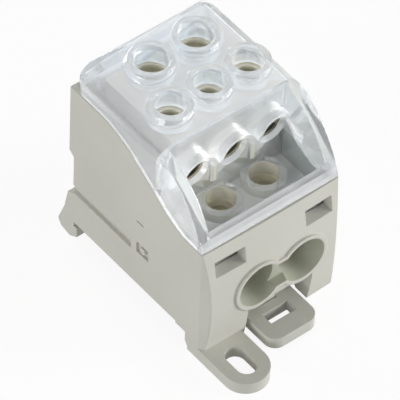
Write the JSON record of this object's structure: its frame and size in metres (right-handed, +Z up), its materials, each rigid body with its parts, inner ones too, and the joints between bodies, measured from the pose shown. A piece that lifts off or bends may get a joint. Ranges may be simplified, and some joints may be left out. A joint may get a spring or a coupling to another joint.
{
  "type": "power distribution block",
  "caption": "Rail-mounted power distribution block: grey moulded housing, tinned conductor block with set screws, clear lift-off cover with guide collars, sprung rail latch.",
  "frame": {"origin": "centre of the outline on the mounting plane, z = 0 at the underside of the lugs", "axes": "+X across the block to the right as seen from the lower conductor entries, -Y is the lower conductor face, +Z is up, away from the rail or panel"},
  "size_m": [0.04, 0.0808, 0.058],
  "materials": {
    "grey_plastic": "fine matt warm light grey moulded polyamide",
    "clear_plastic": "clear glossy polycarbonate with a faint blue cast",
    "tinned_metal": "tin-plated aluminium, satin",
    "screw_steel": "zinc-plated steel, hexagon socket",
    "latch_plastic": "fine matt warm grey moulded plastic",
    "spring_steel": "bright spring wire"
  },
  "bodies": {
    "base": {"housing": "grey_plastic", "conductor_block": "tinned_metal", "latch_spring": "spring_steel"},
    "cover": {"cover": "clear_plastic"},
    "latch": {"rail_latch": "latch_plastic"},
    "front_screw_left": {"front_screw_left": "screw_steel"},
    "front_screw_right": {"front_screw_right": "screw_steel"},
    "middle_screw_left": {"middle_screw_left": "screw_steel"},
    "middle_screw_centre": {"middle_screw_centre": "screw_steel"},
    "middle_screw_right": {"middle_screw_right": "screw_steel"},
    "rear_screw_left": {"rear_screw_left": "screw_steel"},
    "rear_screw_right": {"rear_screw_right": "screw_steel"}
  },
  "joints": [
    {"name": "cover_lift", "type": "slide", "parent": "base", "child": "cover", "axis": [0, 0, 1], "range_m": [0, 0.035]},
    {"name": "latch_slide", "type": "slide", "parent": "base", "child": "latch", "axis": [0, -1, 0], "range_m": [0, 0.0035], "stiffness_N_per_m": 800, "springref_m": -0.002, "deforming": ["latch_spring"]},
    {"name": "front_screw_left_clamp", "type": "slide", "parent": "base", "child": "front_screw_left", "axis": [0, 0, -1], "range_m": [0, 0.004]},
    {"name": "front_screw_right_clamp", "type": "slide", "parent": "base", "child": "front_screw_right", "axis": [0, 0, -1], "range_m": [0, 0.004]},
    {"name": "middle_screw_left_clamp", "type": "slide", "parent": "base", "child": "middle_screw_left", "axis": [0, 0, -1], "range_m": [0, 0.003]},
    {"name": "middle_screw_centre_clamp", "type": "slide", "parent": "base", "child": "middle_screw_centre", "axis": [0, 0, -1], "range_m": [0, 0.003]},
    {"name": "middle_screw_right_clamp", "type": "slide", "parent": "base", "child": "middle_screw_right", "axis": [0, 0, -1], "range_m": [0, 0.003]},
    {"name": "rear_screw_left_clamp", "type": "slide", "parent": "base", "child": "rear_screw_left", "axis": [0, 0, -1], "range_m": [0, 0.004]},
    {"name": "rear_screw_right_clamp", "type": "slide", "parent": "base", "child": "rear_screw_right", "axis": [0, 0, -1], "range_m": [0, 0.004]}
  ]
}
